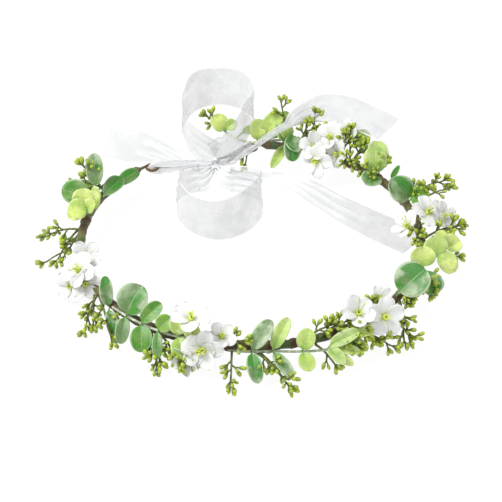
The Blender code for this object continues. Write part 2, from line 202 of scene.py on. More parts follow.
def dress(tree, shader, colour, height, depth, strength=1.0):
    """Gives a shader its colour and its relief."""
    tree.links.new(colour, shader.inputs["Base Color"])
    tree.links.new(bump(tree, height, depth, strength), shader.inputs["Normal"])


def let_light_in(shader, weight, radius, scale):
    shader.inputs["Subsurface Weight"].default_value = weight
    shader.inputs["Subsurface Radius"].default_value = radius
    shader.inputs["Subsurface Scale"].default_value = scale


def graded(tree, value, stops):
    """The colour at a value along a ramp, from its stops: position and colour."""
    grown = add_node(tree, "ValToRGB", {0: value})
    ramp = grown.color_ramp
    while len(ramp.elements) < len(stops):
        ramp.elements.new(0.5)
    for element, (position, tone) in zip(ramp.elements, stops):
        element.position = position
        element.color = tone
    return grown.outputs[0]


def piece(bm, name, finish, body=None, stands_for=()):
    """An object at the origin from a finished bmesh, riding on its body."""
    mesh = bpy.data.meshes.new(name)
    bm.to_mesh(mesh)
    bm.free()
    mesh.shade_smooth()
    mesh.materials.append(finish)
    made = bpy.data.objects.new(name, mesh)
    bpy.context.scene.collection.objects.link(made)
    if body:
        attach(made, body)
    if stands_for:
        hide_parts(*stands_for)
    return made


floral_tape, tree, shader = finish_called("floral_tape", 0.62)
lap = from_mesh(tree, "lap")
binding = from_mesh(tree, "binding")
OLIVE = (0.120, 0.112, 0.028, 1)
BROWN = (0.070, 0.043, 0.014, 1)
REDDISH = (0.080, 0.020, 0.009, 1)
MOSS = (0.030, 0.085, 0.010, 1)
patches = between(tree, speckle(tree, 11 * MM), 0.40, 0.62)
colour = blend_colours(tree, patches, OLIVE, BROWN)
mossy = between(tree, speckle(tree, 17 * MM, 2.0), 0.56, 0.66, 0, 0.75)
colour = blend_colours(tree, mossy, colour, MOSS)
colour = blend_colours(tree, between(tree, lap, 0.80, 1.0, 0, 0.55), colour, (0.028, 0.018, 0.008, 1))
colour = blend_colours(tree, maths(tree, "MULTIPLY", binding, 0.9), colour, REDDISH)
colour, crinkle = uneven(tree, colour, 1.6 * MM, 0.5)
dress(tree, shader, colour, crinkle, 0.25 * MM)
shader.inputs["Sheen Weight"].default_value = 0.15

stem = bmesh.new()
bmesh.ops.create_circle(stem, segments=18, radius=STEM_RADIUS)
stand = Matrix.Translation(at(BOUND_FROM)) @ Matrix.Rotation(math.radians(BOUND_FROM), 4, "Z")
bmesh.ops.transform(stem, matrix=stand @ Matrix.Rotation(math.pi / 2, 4, "X"), verts=stem.verts)
bmesh.ops.spin(
    stem, geom=stem.verts[:] + stem.edges[:], cent=(0, 0, 0), axis=UP,
    angle=math.radians(BOUND_TO - BOUND_FROM), steps=620,
)
lap_layer = stem.verts.layers.float.new("lap")
binding_layer = stem.verts.layers.float.new("binding")
for vertex in stem.verts:
    angle = math.degrees(math.atan2(vertex.co.y, vertex.co.x)) % 360
    if angle < BOUND_FROM - 5:
        angle += 360
    core = at(angle)
    spoke = vertex.co - core
    around = math.atan2(spoke.z, spoke.dot(outward(angle))) / math.tau
    vertex[lap_layer] = (math.radians(angle) * RING_RADIUS / WRAP_PITCH + around) % 1
    gap = min(abs(angle - place) for place in BINDINGS) / BINDING_HALF
    vertex[binding_layer] = 1 if gap < 0.8 else max(0, 1 - (gap - 0.8) * 4)
    lump = 0.22 * MM * noise.noise(core * 190) + 0.10 * MM * noise.noise(vertex.co * 700)
    reach = STEM_RADIUS * 0.90 + WRAP_STEP * vertex[lap_layer] + BINDING_STEP * vertex[binding_layer] + lump
    end = min(angle - BOUND_FROM, BOUND_TO - angle)
    vertex.co = core + spoke.normalized() * reach * min(1, 0.5 + end / 3)
bmesh.ops.holes_fill(stem, edges=[edge for edge in stem.edges if edge.is_boundary], sides=0)
bmesh.ops.recalc_face_normals(stem, faces=stem.faces)
piece(stem, "bound_ring", floral_tape, "crown_ring", ("tape_left", "tape_front", "tape_right"))

# The wire itself shows only at its two eyes, where its brown paper covering is bare.
wire_paper, tree, shader = finish_called("wire_paper", 0.7)
colour, crinkle = uneven(tree, (0.12, 0.075, 0.030, 1), 1.2 * MM, 0.6)
dress(tree, shader, colour, crinkle, 0.2 * MM)
shader.inputs["Sheen Weight"].default_value = 0.1


def round_off(made, levels):
    """Rounds a coarse solid from the frame without touching its mesh."""
    weld = made.modifiers.new("joined", "WELD")
    weld.merge_threshold = 0.00002
    finer = made.modifiers.new("rounded", "SUBSURF")
    finer.levels = levels
    finer.render_levels = levels


wire = frame["nodes"]["ring_wire"]
wire.data.materials.clear()
wire.data.materials.append(wire_paper)
round_off(wire, 1)


# The leaf sprigs
# Thin moulded stems with round, soft-plastic leaves in opposite pairs. Each pair is one cut piece with a
# hole in its neck, pushed onto the stem, then brushed with a pale powder that catches its rim and veins.

LEAF_NECK_STEP = 0.8 * MM  # between the points across a pair's neck in the frame
LEAF_THICKNESS = 0.35 * MM
LEAF_STALK = 0.10  # of a leaf's length
FRONT = Vector((0, -0.6, 0.8))
STEMS = [name for name in sorted(frame["nodes"]) if name.startswith("eucalyptus_stem")]
# For each pair, its higher leaf and then its lower one: how far from grey-green to lime, and how powdery
LEAF_FINISH = {
    "leaf_pair_01": ((0.10, 0.50), (0.78, 0.15)), "leaf_pair_02": ((0.48, 0.25), (0.95, 0.15)),
    "leaf_pair_03": ((0.97, 0.20), (0.90, 0.05)), "leaf_pair_04": ((0.93, 0.10), (0.87, 0.00)),
    "leaf_pair_05": ((0.20, 0.60), (0.08, 0.60)), "leaf_pair_06": ((0.13, 0.45), (0.30, 0.20)),
    "leaf_pair_07": ((0.55, 0.20), (0.47, 0.05)), "leaf_pair_08": ((0.66, 0.10), (0.45, 0.35)),
    "leaf_pair_09": ((0.93, 0.15), (0.78, 0.35)), "leaf_pair_10": ((0.15, 0.85), (0.22, 0.50)),
    "leaf_pair_11": ((0.75, 0.60), (0.35, 0.75)), "leaf_pair_12": ((0.86, 0.25), (0.84, 0.30)),
    "leaf_pair_13": ((0.70, 0.80), (0.72, 0.70)), "leaf_pair_14": ((0.90, 0.35), (0.30, 0.60)),
    "leaf_pair_15": ((0.86, 0.40), (0.95, 0.25)), "leaf_pair_16": ((0.90, 0.25), (0.95, 0.10)),
    "leaf_pair_17": ((0.27, 0.60), (0.62, 0.00)), "leaf_pair_18": ((0.72, 0.60), (0.36, 0.45)),
    "leaf_pair_19": ((0.85, 0.15), (0.30, 0.60)), "leaf_pair_20": ((0.92, 0.00), (0.88, 0.00)),
    "leaf_pair_21": ((0.70, 0.20), (0.85, 0.15)),
}
# Small leaves bound in by hand: neck and tip as places by the ring, width, finish
LOOSE_LEAVES = [
    ((86, 3, 3), (80, 10, 18), 11, (0.84, 0.10)), ((88, 0, 2), (87, 10, 12), 10, (0.90, 0.10)),
    ((76, -2, 3), (80, 8, 12), 10, (0.60, 0.20)), ((38, 1, 4), (45, 10, 16), 12, (0.75, 0.65)),
    ((52, 12, 3), (53, 18, 14), 9, (0.92, 0.30)), ((157, -2, 2), (146, -4, 5), 9, (0.30, 0.10)),
    ((148, -2, 1), (137, -4, 3), 8, (0.34, 0.10)), ((168, -3, 4), (164, -2, 14), 8, (0.96, 0.10)),
    ((353, 7, 2), (358, 14, 6), 8, (0.90, 0.20)), ((351, 10, -1), (348, 20, -6), 10, (0.95, 0.20)),
    ((33, 3, 3), (32, 7, 12), 3, (0.50, 0.10)), ((93, 21, -5), (89, 30, -9), 6, (0.82, 0.10)),
    ((303, 2, 3), (309, 5, 12), 8, (0.80, 0.30)), ((66, 3, 2), (62, 13, 6), 10, (0.45, 0.30)),
    ((323.6, 1, 4), (332, 9.6, 15), 19, (0.12, 0.75)), ((77, 1, 1), (81, -17, -5), 5.5, (0.80, 0.25)),
    ((75, 1, 10), (73, -10, -3), 10, (0.24, 0.60)), ((296, 4, 1), (306, 13, 5), 7, (0.86, 0.75)),
    ((296, 4, 0), (303, 16, -3), 7, (0.90, 0.70)), ((254, 3, 2), (249, 0, 12), 8, (0.92, 0.45)),
    ((293, 8, -1), (300, 17, -2), 5, (0.80, 0.80)), ((293, 9, -3), (297, 20, -6), 5, (0.90, 0.70)),
]


def merged(name):
    """A copy of a node from the frame with its loose triangles joined."""
    bm = bmesh.new()
    bm.from_mesh(frame["nodes"][name].data)
    bmesh.ops.remove_doubles(bm, verts=bm.verts, dist=0.01 * MM)
    bm.verts.ensure_lookup_table()
    return bm


def middle(points):
    return sum(points, Vector()) / len(points)


def leaf_axes(name):
    """A pair's neck and, the higher leaf first, each leaf's tip, the way it faces and its width."""
    bm = merged(name)
    waist = set()
    for edge in bm.edges:
        if abs(edge.calc_length() - LEAF_NECK_STEP) < 0.15 * MM:
            waist.update(edge.verts)
    neck = middle([vertex.co for vertex in waist])
    loose = set(bm.verts) - waist
    leaves = []
    while loose:
        blade = {loose.pop()}
        front = list(blade)
        while front:
            near = {edge.other_vert(vertex) for vertex in front for edge in vertex.link_edges} & loose
            loose -= near
            blade |= near
            front = list(near)
        side = sorted((vertex.co - neck for vertex in blade), key=lambda point: point.length)
        tip = neck + middle(side[-4:])
        way = (tip - neck).normalized()
        side = [point - way * point.dot(way) for point in side]
        lean = middle(side)
        across = Vector(np.linalg.svd(np.array([point - lean for point in side]))[2][0])
        face = way.cross(across).normalized()
        face *= math.copysign(1, lean.dot(face))
        spread = [point.dot(across) for point in side]
        leaves.append((tip, face, max(spread) - min(spread)))
    bm.free()
    return neck, sorted(leaves, key=lambda leaf: -leaf[0].z)[:2]


def new_sheet(*marks):
    """An empty bmesh with a chart and a value per vertex for each mark."""
    bm = bmesh.new()
    bm.loops.layers.uv.verify()
    for mark in marks:
        bm.verts.layers.float.new(mark)
    return bm


def bent_grid(bm, rows, columns, shape):
    """Adds a sheet to bm, bent by shape(u, v), with u along it from 0 to 1 and v across it from -1 to 1."""
    chart = bm.loops.layers.uv.verify()
    made = bmesh.ops.create_grid(bm, x_segments=rows, y_segments=columns, size=1)["verts"]
    places = {vertex: ((vertex.co.x + 1) / 2, vertex.co.y) for vertex in made}
    for face in {face for vertex in made for face in vertex.link_faces}:
        for corner in face.loops:
            u, v = places[corner.vert]
            corner[chart].uv = (v / 2 + 0.5, u)
    for vertex, (u, v) in places.items():
        vertex.co = shape(u, v)
    return made


def add_leaf(bm, root, neck, tip, face, width, look, chance):
    """One leaf, from its root on the stem: stalk, then a round blade, folded along its midrib and cupped."""
    way = tip - neck
    length = way.length
    way.normalize()
    face = (face - way * face.dot(way)).normalized()
    across = face.cross(way)
    fold = chance.uniform(0.12, 0.36)
    cup = chance.uniform(-0.05, 0.22)
    wave = chance.uniform(0.02, 0.06) * width
    phase = chance.uniform(0, math.tau)
    twist = chance.uniform(-0.25, 0.25)

    def shape(u, v):
        stalk = min(u / LEAF_STALK, 1)
        blade = max(u - LEAF_STALK, 0) / (1 - LEAF_STALK)
        part = (1 - math.cos(math.pi * blade)) / 2
        run = LEAF_STALK * stalk + (1 - LEAF_STALK) * part**0.92
        half = 0.45 * MM * (1 - blade) + width / 2 * math.sin(math.pi * blade) ** 0.82
        lift = 0.09 * length * math.sin(math.pi * run) + fold * half * abs(v) + cup * half * v * v
        lift += wave * math.sin(2.5 * math.pi * run + phase) * v * abs(v) * part
        turned = twist * part
        rib = -0.15 * MM * math.exp(-(v / 0.12) ** 2) * math.sin(math.pi * blade)
        point = neck + way * length * run + (root - neck) * (1 - stalk) ** 2
        point += across * half * v * math.cos(turned) + face * (lift + rib + half * v * math.sin(turned))
        point.z = max(point.z, 0.3 * MM)
        return point

    for vertex in bent_grid(bm, 18, 8, shape):
        vertex[bm.verts.layers.float["hue"]] = look[0]
        vertex[bm.verts.layers.float["powder"]] = look[1]


leaf_skin, tree, shader = finish_called("leaf_skin", 0.48)
hue = from_mesh(tree, "hue")
powder = from_mesh(tree, "powder")
LEAF_COLOURS = (
    (0.00, (0.160, 0.245, 0.090, 1)), (0.30, (0.060, 0.160, 0.020, 1)), (0.58, (0.130, 0.300, 0.024, 1)),
    (0.84, (0.520, 0.650, 0.150, 1)), (1.00, (0.700, 0.785, 0.270, 1)),
)
colour = graded(tree, hue, LEAF_COLOURS)
chart = add_node(tree, "SeparateXYZ", {0: add_node(tree, "UVMap").outputs[0]})
from_rib = maths(tree, "ABSOLUTE", maths(tree, "MULTIPLY_ADD", chart.outputs[0], 2.0, -1.0))
run = chart.outputs[1]
blotch = speckle(tree, 9 * MM)
deep = blend_colours(tree, 0.92, colour, (0.022, 0.215, 0.005, 1))
heart = maths(tree, "MULTIPLY", between(tree, blotch, 0.44, 0.58), between(tree, hue, 0.30, 0.75, 1.0, 0.35))
colour = blend_colours(tree, heart, colour, deep)
root_tint = maths(tree, "MULTIPLY", between(tree, run, 0.55, 0.05), between(tree, hue, 0.5, 0.9, 0.35, 0.6))
colour = blend_colours(tree, root_tint, colour, (0.110, 0.330, 0.020, 1))
colour, grain = uneven(tree, colour, 2.5 * MM, 0.35)
slant = maths(tree, "MULTIPLY", from_rib, 1.3)
veins = maths(tree, "FRACT", maths(tree, "SUBTRACT", maths(tree, "MULTIPLY", run, 8.0), slant))
veins = maths(tree, "MULTIPLY", between(tree, veins, 0.0, 0.09, 1, 0), between(tree, from_rib, 0.9, 0.3))
midrib = between(tree, from_rib, 0.07, 0.01, 0, 0.8)
veins = maths(tree, "MAXIMUM", maths(tree, "MULTIPLY", veins, 0.35), midrib)
rim = maths(tree, "MAXIMUM", between(tree, from_rib, 0.80, 0.94), between(tree, run, 0.92, 0.99))
outer_part = maths(
    tree, "MAXIMUM", between(tree, from_rib, 0.1, 0.95, 0.30, 1.0), between(tree, run, 0.4, 1.0, 0.25, 0.95)
)
brushed = between(tree, speckle(tree, 6 * MM, 5.0, 0.65), 0.40, 0.60, 0.35, 1.35)
bloom = maths(tree, "MULTIPLY", powder, brushed)
bloom = maths(tree, "MULTIPLY", bloom, outer_part)
bloom = maths(tree, "MULTIPLY", bloom, maths(tree, "MULTIPLY_ADD", heart, -0.9, 1.0))
dust = between(tree, speckle(tree, 0.45 * MM, 2.0), 0.58, 0.70, 0, 0.55)
dust = maths(tree, "MULTIPLY", dust, maths(tree, "ADD", powder, 0.15))
rim = maths(tree, "MULTIPLY", rim, maths(tree, "MULTIPLY_ADD", powder, 0.50, 0.50))
bloom = maths(tree, "MAXIMUM", maths(tree, "MAXIMUM", bloom, dust), rim)
bloom = maths(tree, "MAXIMUM", bloom, maths(tree, "MULTIPLY", veins, 0.5))
bloom = maths(tree, "MINIMUM", bloom, 0.9)
SILVER = (0.500, 0.590, 0.420, 1)
PALE_LIME = (0.620, 0.720, 0.330, 1)
frost = blend_colours(tree, between(tree, hue, 0.3, 0.9), SILVER, PALE_LIME)
colour = blend_colours(tree, bloom, colour, frost)
tree.links.new(between(tree, bloom, 0.0, 0.8, 0.40, 0.72), shader.inputs["Roughness"])
height = maths(tree, "MULTIPLY_ADD", veins, -1.0, maths(tree, "MULTIPLY", grain, 0.3))
dress(tree, shader, colour, height, 0.20 * MM)
let_light_in(shader, 0.12, (0.6, 1.0, 0.3), 1.5 * MM)

sprig_bark, tree, shader = finish_called("sprig_bark", 0.6)
colour, crinkle = uneven(tree, (0.360, 0.420, 0.270, 1), 3.0 * MM, 0.7)
colour = blend_colours(tree, between(tree, crinkle, 0.45, 0.62, 0, 0.8), colour, (0.66, 0.72, 0.61, 1))
dress(tree, shader, colour, crinkle, 0.2 * MM)

hosts = []
for name in STEMS + ["tape_left", "tape_front", "tape_right"]:
    copy = merged(name)
    hosts.append(BVHTree.FromBMesh(copy))
    copy.free()
for name in STEMS:
    sprig = frame["nodes"][name]
    sprig.data.materials.clear()
    sprig.data.materials.append(sprig_bark)
    round_off(sprig, 2)


def nearest_stem(point):
    """The nearest place on a stem or on the bound ring."""
    return min((host.find_nearest(point) for host in hosts), key=lambda hit: hit[3])[0]


def from_stem(point):
    """How far a point is from the nearest stem or from the bound ring."""
    return min(host.find_nearest(point)[3] for host in hosts)


def cut_sheet(bm, name, finish, thickness, stands_for=()):
    """A piece on the ring from flat shapes, with its cut thickness."""
    bmesh.ops.remove_doubles(bm, verts=bm.verts, dist=0.004 * MM)
    made = piece(bm, name, finish, "crown_ring", stands_for)
    shell = made.modifiers.new("thickness", "SOLIDIFY")
    shell.thickness = thickness
    shell.offset = 0


for number, (name, looks) in enumerate(LEAF_FINISH.items()):
    chance = random.Random(100 + number)
    neck, leaves = leaf_axes(name)
    root = neck.lerp(nearest_stem(neck), 1.2)
    pair = new_sheet("hue", "powder")
    for (tip, face, width), look in zip(leaves, looks):
        add_leaf(pair, root, neck, tip, face, width * 1.06, look, chance)
    cut_sheet(pair, name + "_leaves", leaf_skin, LEAF_THICKNESS, (name,))

for number, (neck, tip, width, look) in enumerate(LOOSE_LEAVES):
    chance = random.Random(200 + number)
    single = new_sheet("hue", "powder")
    neck = at(*neck)
    add_leaf(single, nearest_stem(neck), neck, at(*tip), FRONT, width * MM, look, chance)
    cut_sheet(single, f"loose_leaf_{number + 1:02d}", leaf_skin, LEAF_THICKNESS)


# The berry sprays
# Moulded soft-plastic sprays: an olive stem with forked twigs, and at the end of each fork a fat little
# yellow-green bud with a darker cap. Their feet are bound under the tape, and most hang outwards.

BUD_LENGTH = 4.4 * MM
BUD_WIDTH = 2.6 * MM
SPRAY_STEM = 0.75 * MM  # radius
SPRAY_STEPS = 6
FORK_RADII = (0.55 * MM, 0.48 * MM)
TWIG_RADII = (0.42 * MM, 0.40 * MM)
FIRST_FORK = 0.38  # of the spray's length
FORKS_OVER = 0.55
SPRAYS = [name for name in sorted(frame["nodes"]) if name.startswith("berry_spray")]
# Sprays bound in between the main ones: foot and tip as places by the ring, and how many forks
FILLER_SPRAYS = [
    ((154, 0, 2), (155, 11, 17), 4), ((173, 2, -2), (185, 13, -8), 2), ((175, 1, -2), (180, 6, -6), 3),
    ((186, 2, -1), (186, 19, -8), 1), ((209, 1, -2), (218, 11, -7), 4), ((212, 1, -2), (228, 14, -7), 5),
    ((237, 1, -2), (244, 12, -7), 4), ((241, 1, -2), (248, 8, -7), 4), ((246, 1, -2), (249, 4, -6), 3),
    ((272, 2, -2), (279, 23, -7), 3), ((270, 1, -2), (275, 6, -6), 2), ((262, 1, 2), (267, 3, 6), 3),
    ((291, 2, 2), (299, 3, 8), 5), ((297, 2, 2), (300, 12, 0), 5), ((290, 2, -2), (293, 13, -7), 3),
    ((300, 2, -1), (306, 11, -3), 3), ((305, 0, 3), (311, 1, 9), 4), ((326, 0, 2), (326, 5, 1), 5),
    ((331, 1, 2), (333, 12, 0), 5), ((325, 2, -2), (315, 18, -7), 6), ((5, 0, 2), (352, -3, 8), 5),
    ((357, 4, 1), (1, 18, 5), 4), ((351, 4, 0), (353, 18, -3), 3), ((16, 2, 2), (17, 22, 9), 3),
    ((55, 1, 2), (55, 3, 14), 5), ((50, 1, 2), (48, 4, 12), 5), ((52, -2, 2), (48, -8, 8), 5),
    ((45, -1, 2), (39, -6, 6), 4), ((72, -1, 2), (70, 5, 14), 5), ((77, 1, 2), (80, 12, 21), 3),
    ((67, 1, 2), (69, 13, 16), 3), ((61, 1, 2), (63, 6, 8), 4), ((99, 22, 0), (102, 28, 3), 3),
    ((91, -2, -2), (92, -10, -5), 1), ((246, 2, -2), (250, 12, -6), 5), ((248, 2, -1), (253, 8, -5), 4),
    ((297, 3, 3), (303, 9, 5), 5), ((302, 0, 3), (309, 0, 8), 5), ((288, 1, 3), (294, 1, 7), 4),
    ((153, 1, 3), (159, 12, 10), 3), ((42, 1, 3), (39, 5, 8), 4), ((23, 1, 3), (19, 8, 8), 4),
    ((340, 2, 0), (337, 10, 0), 4), ((66, 0, 3), (64, 4, 12), 4),
]

berry_skin, tree, shader = finish_called("berry_skin", 0.42)
BERRY_COLOURS = (
    (0.00, (0.125, 0.150, 0.026, 1)), (0.22, (0.090, 0.145, 0.012, 1)), (0.45, (0.170, 0.255, 0.018, 1)),
    (0.85, (0.400, 0.500, 0.060, 1)), (1.00, (0.240, 0.330, 0.026, 1)),
)
colour = graded(tree, from_mesh(tree, "ripe"), BERRY_COLOURS)
colour, grain = uneven(tree, colour, 2.2 * MM, 1.1)
dress(tree, shader, colour, grain, 0.15 * MM)
let_light_in(shader, 0.10, (0.5, 1.0, 0.2), 1.0 * MM)


def standing(start, way):
    """The matrix that stands something along a way, from a point."""
    return Matrix.Translation(start) @ way.to_track_quat("Z", "Y").to_matrix().to_4x4()


def add_limb(bm, start, end, thick, thin, sides=5):
    way = end - start
    made = bmesh.ops.create_cone(
        bm, cap_ends=True, segments=sides, radius1=thick, radius2=thin, depth=way.length,
        matrix=standing((start + end) / 2, way),
    )["verts"]
    for vertex in made:
        vertex[bm.verts.layers.float["ripe"]] = 0.05


def add_bud(bm, base, way, size):
    """A drop-shaped bud that widens away from its twig."""
    made = bmesh.ops.create_uvsphere(bm, u_segments=7, v_segments=6, radius=0.5)["verts"]
    ripe_layer = bm.verts.layers.float["ripe"]
    stand = standing(base, way)
    for vertex in made:
        part = vertex.co.z + 0.5
        girth = BUD_WIDTH * size * (0.55 + 0.55 * part)
        vertex[ripe_layer] = 0.25 + 0.75 * part
        vertex.co = stand @ Vector((vertex.co.x * girth, vertex.co.y * girth, part * BUD_LENGTH * size))


def spray(foot, tip, forks, chance):
    """A spray from its foot to its tip, bowed upwards, with forks of three buds round it."""
    bm = new_sheet("ripe")
    way = tip - foot
    bow = UP * way.length * 0.10
    line = []
    for i in range(SPRAY_STEPS + 1):
        t = i / SPRAY_STEPS
        line.append(foot + way * t + bow * 4 * t * (1 - t))
    way.normalize()
    level = way.orthogonal().normalized()
    radii = [SPRAY_STEM * (1 - 0.07 * i) for i in range(SPRAY_STEPS + 1)]
    for i in range(SPRAY_STEPS):
        add_limb(bm, line[i], line[i + 1], radii[i], radii[i + 1], 6)
    for k in range(forks + 1):
        last = k == forks
        along = SPRAY_STEPS * (1 if last else FIRST_FORK + FORKS_OVER * k / max(forks - 1, 1))
        step = min(int(along), SPRAY_STEPS - 1)
        start = line[step].lerp(line[step + 1], along - step)
        turned = Matrix.Rotation(k * 2.4 + chance.uniform(-0.5, 0.5), 3, way) @ level
        branch = way if last else (way * 0.8 + turned).normalized()
        end = start + branch * chance.uniform(1.6, 3.6) * MM * (0.6 if last else 1)
        add_limb(bm, start, end, *FORK_RADII)
        side = branch.orthogonal().normalized()
        buds = 4 if last else 3
        for j in range(buds):
            around = Matrix.Rotation(math.tau * j / buds + chance.uniform(-0.4, 0.4), 3, branch) @ side
            small = (branch + around * chance.uniform(0.35, 0.75)).normalized()
            twig = end + small * chance.uniform(0.9, 2.0) * MM
            add_limb(bm, end, twig, *TWIG_RADII)
            add_bud(bm, twig - small * 0.2 * MM, small, chance.uniform(0.78, 1.08))
    for vertex in bm.verts:
        vertex.co.z = max(vertex.co.z, 0.2 * MM)
    return bm


for number, name in enumerate(SPRAYS):
    copy = merged(name)
    points = [vertex.co.copy() for vertex in copy.verts]
    copy.free()
    foot = min(points, key=lambda point: min(host.find_nearest(point)[3] for host in hosts[-3:]))
    tip = max(points, key=lambda point: (point - foot).length)
    tip = foot.lerp(tip, 1 - 1.5 * MM / (tip - foot).length)
    root = foot.lerp(nearest_stem(foot), 1.5)
    body = frame["nodes"][name]["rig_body"]
    made = spray(root, tip, 5, random.Random(300 + number))
    piece(made, name + "_buds", berry_skin, body, (name,))

for number, (foot, tip, forks) in enumerate(FILLER_SPRAYS):
    made = spray(at(*foot), at(*tip), forks, random.Random(400 + number))
    piece(made, f"filler_spray_{number + 1:02d}", berry_skin, "crown_ring")


# The blossoms
# Five soft fabric petals on a plastic peg, heat-pressed into a shallow cup with a notch at each tip and a
# crease to the middle. The heart is a lime-yellow button with a ring of short stamens.

PETALS = 5
PETAL_LENGTH = 10.0 * MM
PETAL_WIDTH = 9.2 * MM
PETAL_THICKNESS = 0.22 * MM
HEART_RADIUS = 1.5 * MM
STAMENS = 7
# Blossoms bound in between the main ones: place by the ring, turn from outwards and rise in degrees, size,
# and the length of the longest stamens in millimetres
FILLER_BLOSSOMS = [
    ((199, -1, 8), 60, 50, 0.85, 3.0), ((203, 10, -2), 40, 20, 0.90, 3.0), ((207, 5, 2), 70, 30, 0.80, 3.0),
    ((255, 9, 2), 10, 25, 0.85, 3.5), ((261, 1, 6), 30, 70, 0.75, 3.0), ((248, -4, 9), -10, 70, 0.80, 3.5),
    ((252, 9, -4), -20, -5, 0.80, 3.5), ((304, 4, 11), -30, 60, 0.85, 14.0),
    ((315, 1, 9), -20, 50, 0.70, 3.0),
    ((1, -7, 6), 190, 50, 0.85, 7.0), ((5, 12, 7), -40, 40, 0.80, 5.0), ((60, 0, 13), 175, 55, 0.90, 3.0),
    ((64, -8, 9), 190, 40, 0.85, 3.0), ((57, 8, 13), 170, 60, 0.85, 3.0), ((55, -5, 7), 170, 30, 0.80, 3.0),
]

petal_cloth, tree, shader = finish_called("petal_cloth", 0.6)
chart = add_node(tree, "SeparateXYZ", {0: add_node(tree, "UVMap").outputs[0]})
run = chart.outputs[1]
fan = maths(tree, "MULTIPLY", maths(tree, "SUBTRACT", chart.outputs[0], 0.5), 46.0)
crease_shade_and_relief = between(tree, maths(tree, "SINE", fan), 0.3, 1.0)
crease_shade_and_relief = maths(tree, "MULTIPLY", crease_shade_and_relief, between(tree, run, 1.0, 0.1))
PETAL_WHITE = (0.790, 0.800, 0.790, 1)
PETAL_LIME = (0.600, 0.680, 0.280, 1)
colour = blend_colours(tree, between(tree, run, 0.34, 0.08), PETAL_WHITE, PETAL_LIME)
# The crease lines are greyed here: painted shade in the creases, besides their relief in the bump below.
colour = blend_colours(tree, maths(tree, "MULTIPLY", crease_shade_and_relief, 0.30), colour, (0.52, 0.56, 0.52, 1))
colour = uneven(tree, colour, 2.0 * MM, 0.05)[0]
weave = maths(tree, "MULTIPLY", speckle(tree, 0.25 * MM), 0.35)
dress(tree, shader, colour, maths(tree, "MULTIPLY_ADD", crease_shade_and_relief, -0.6, weave), 0.15 * MM)
let_light_in(shader, 0.20, (1.0, 1.0, 1.0), 1.5 * MM)
shader.inputs["Sheen Weight"].default_value = 0.25

heart_lime, tree, shader = finish_called("heart_lime", 0.5)
colour = blend_colours(tree, from_mesh(tree, "ripe"), (0.420, 0.560, 0.090, 1), (0.720, 0.780, 0.120, 1))
colour, grain = uneven(tree, colour, 0.8 * MM, 0.5)
dress(tree, shader, colour, grain, 0.2 * MM)
let_light_in(shader, 0.15, (1.0, 1.0, 0.3), 1.0 * MM)


def add_petal(bm, centre, face, turn, size, closed, chance):
    """One petal, turned about the way the blossom faces, and raised more on one that is less open."""
    side = face.orthogonal().normalized()
    way = Matrix.Rotation(turn, 3, face) @ side
    across = face.cross(way)
    rise = closed + chance.uniform(0.18, 0.42)
    twist = chance.uniform(0.08, 0.20)
    curl = chance.uniform(0.05, 0.28)
    ruffle = chance.uniform(0, math.tau)

    def shape(u, v):
        part = ((1 - math.cos(math.pi * u)) / 2) ** 0.85
        half = PETAL_WIDTH * size / 2 * math.sin(math.pi * u) ** 0.72
        notch = 0.09 * max(0, 1 - abs(v) * 2.2) * u**5
        reach = (HEART_RADIUS * 0.5 + PETAL_LENGTH * size * (part - notch)) * (1 - 0.04 * v * v)
        lift = PETAL_LENGTH * size * (rise * part - curl * part**3) + 0.16 * half * v * v
        lift += 0.35 * MM * math.sin(4 * v + ruffle) * part + twist * half * v
        point = centre + way * reach + across * half * v + face * lift
        point.z = max(point.z, 0.3 * MM)
        return point

    bent_grid(bm, 12, 8, shape)


def blossom(name, centre, face, size, closed, stamens, foot, chance, stands_for=()):
    """A ring of petals, then its heart on a peg: a button with stamens, two of them this long in mm."""
    petals = new_sheet()
    for k in range(PETALS):
        turn = math.tau * (k + chance.uniform(-0.06, 0.06)) / PETALS
        add_petal(petals, centre, face, turn, size, closed, chance)
    cut_sheet(petals, name + "_bloom", petal_cloth, PETAL_THICKNESS, stands_for[:1])
    heart = new_sheet("ripe")
    add_limb(heart, foot, centre, 0.7 * MM, 0.6 * MM, 6)
    add_limb(heart, centre - face * 2.2 * MM, centre + face * 0.3 * MM, 0.6 * MM, 1.5 * MM, 8)
    ripe_layer = heart.verts.layers.float["ripe"]
    button = bmesh.ops.create_uvsphere(heart, u_segments=10, v_segments=6, radius=HEART_RADIUS * size)
    stand = standing(centre + face * 0.8 * MM, face) @ Matrix.Diagonal((1, 1, 0.6, 1))
    for vertex in button["verts"]:
        vertex.co = stand @ vertex.co
        vertex[ripe_layer] = 0.5
    side = face.orthogonal().normalized()
    for k in range(STAMENS):
        around = Matrix.Rotation(math.tau * k / STAMENS + chance.uniform(-0.3, 0.3), 3, face) @ side
        way = (face + around * chance.uniform(0.25, 0.6)).normalized()
        long = stamens if k < 2 else min(stamens, 3.2)
        end = centre + face * 1.0 * MM + way * long * MM * chance.uniform(0.8, 1.1) * size
        add_limb(heart, centre + face * 0.8 * MM, end, 0.25 * MM, 0.20 * MM, 4)
        anther = bmesh.ops.create_uvsphere(heart, u_segments=6, v_segments=4, radius=0.45 * MM)["verts"]
        for vertex in anther:
            vertex.co = standing(end, way) @ Vector((vertex.co.x, vertex.co.y, vertex.co.z * 1.8))
            vertex[ripe_layer] = 1
    piece(heart, name + "_heart", heart_lime, "crown_ring", stands_for[1:])


for number in range(1, 7):
    name = f"flower_{number}"
    copy = merged(name + "_petals")
    centre = middle([vertex.co for vertex in copy.verts])
    copy.free()
    copy = merged(name + "_centre")
    foot = min((vertex.co.copy() for vertex in copy.verts), key=from_stem)
    copy.free()
    face = (centre - foot).normalized()
    blossom(
        name, centre - face * 1.2 * MM, face, 1.0, 0.0, 3.6, foot, random.Random(500 + number),
        (name + "_petals", name + "_centre"),
    )

